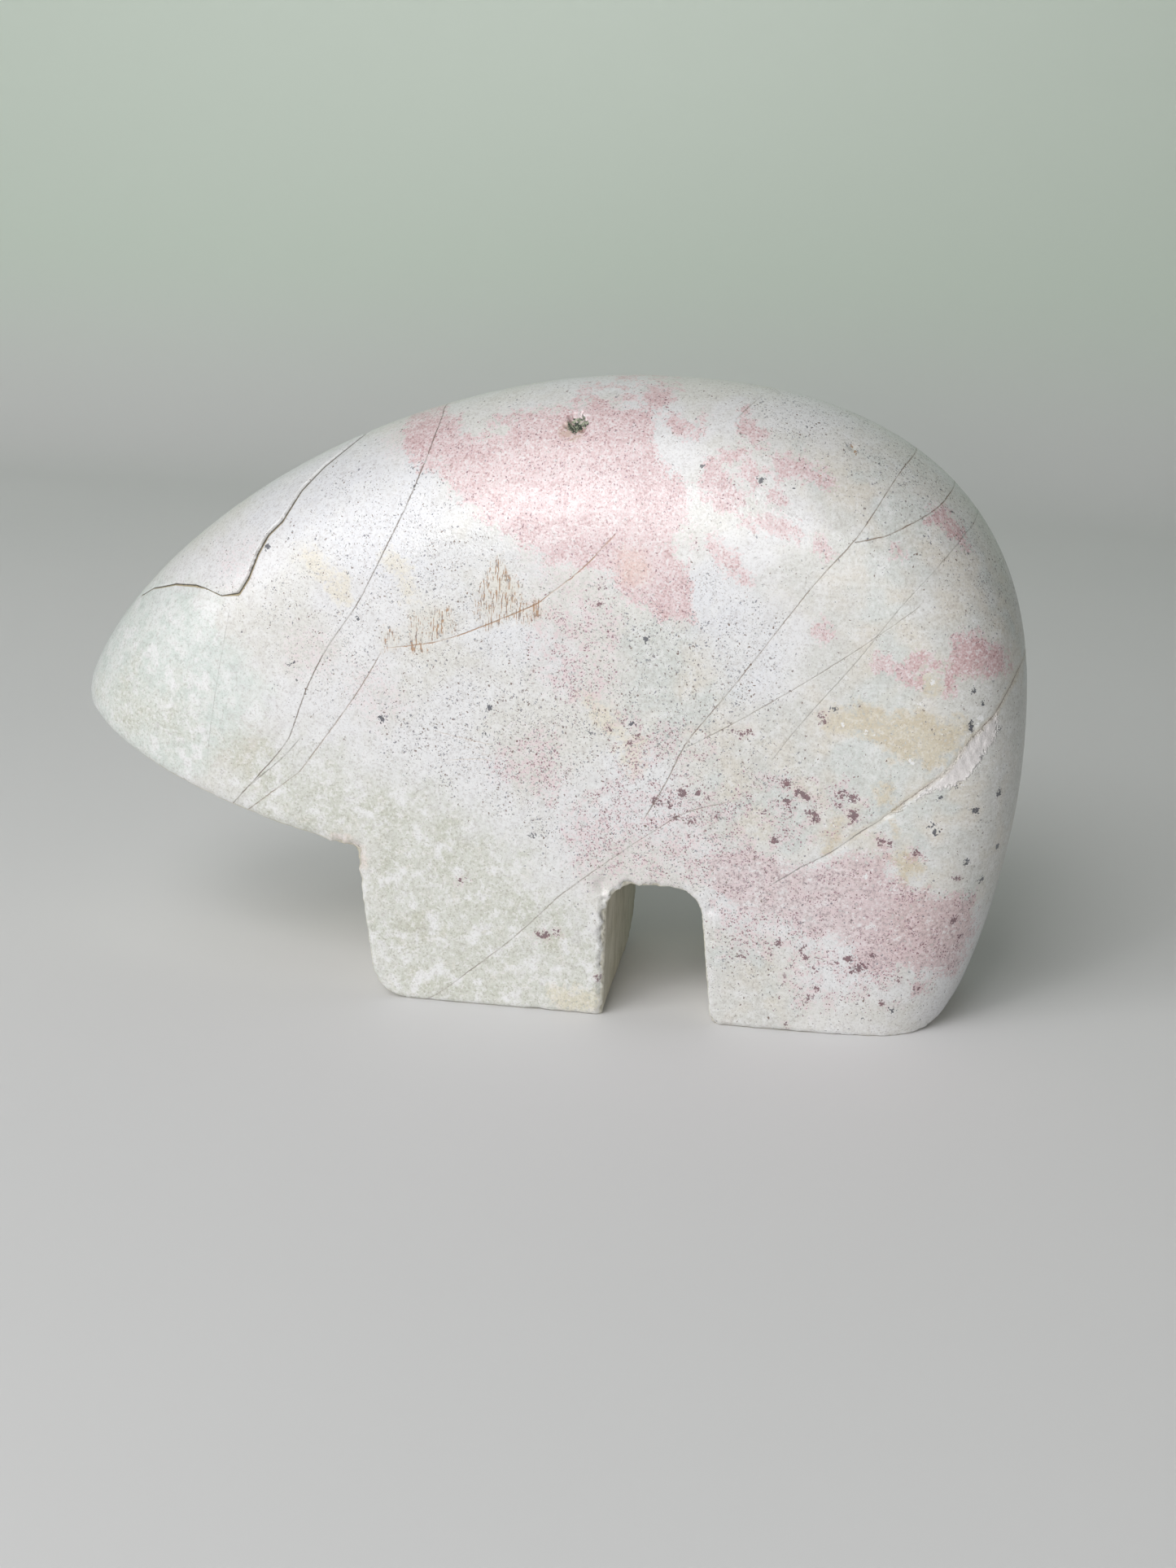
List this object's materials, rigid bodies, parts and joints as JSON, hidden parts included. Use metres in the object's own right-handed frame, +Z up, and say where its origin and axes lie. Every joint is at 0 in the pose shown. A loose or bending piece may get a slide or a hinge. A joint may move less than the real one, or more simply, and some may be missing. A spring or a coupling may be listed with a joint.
{
  "type": "carved stone bear figurine",
  "caption": "Stylised standing bear carved from one thick stone slab: a long sloping head, a high rounded back and two flat-soled legs parted by a saw-cut slot.",
  "frame": {"origin": "on the ground plane, under the centre of the bear's length and thickness", "axes": "+Z up, -X the way the bear faces, so +X runs along its length to the rump; the broad sides face -Y and +Y"},
  "size_m": [0.115, 0.03, 0.0743],
  "materials": {
    "jasper": "polished"
  },
  "bodies": {
    "root": {"bear": "jasper"}
  },
  "joints": []
}
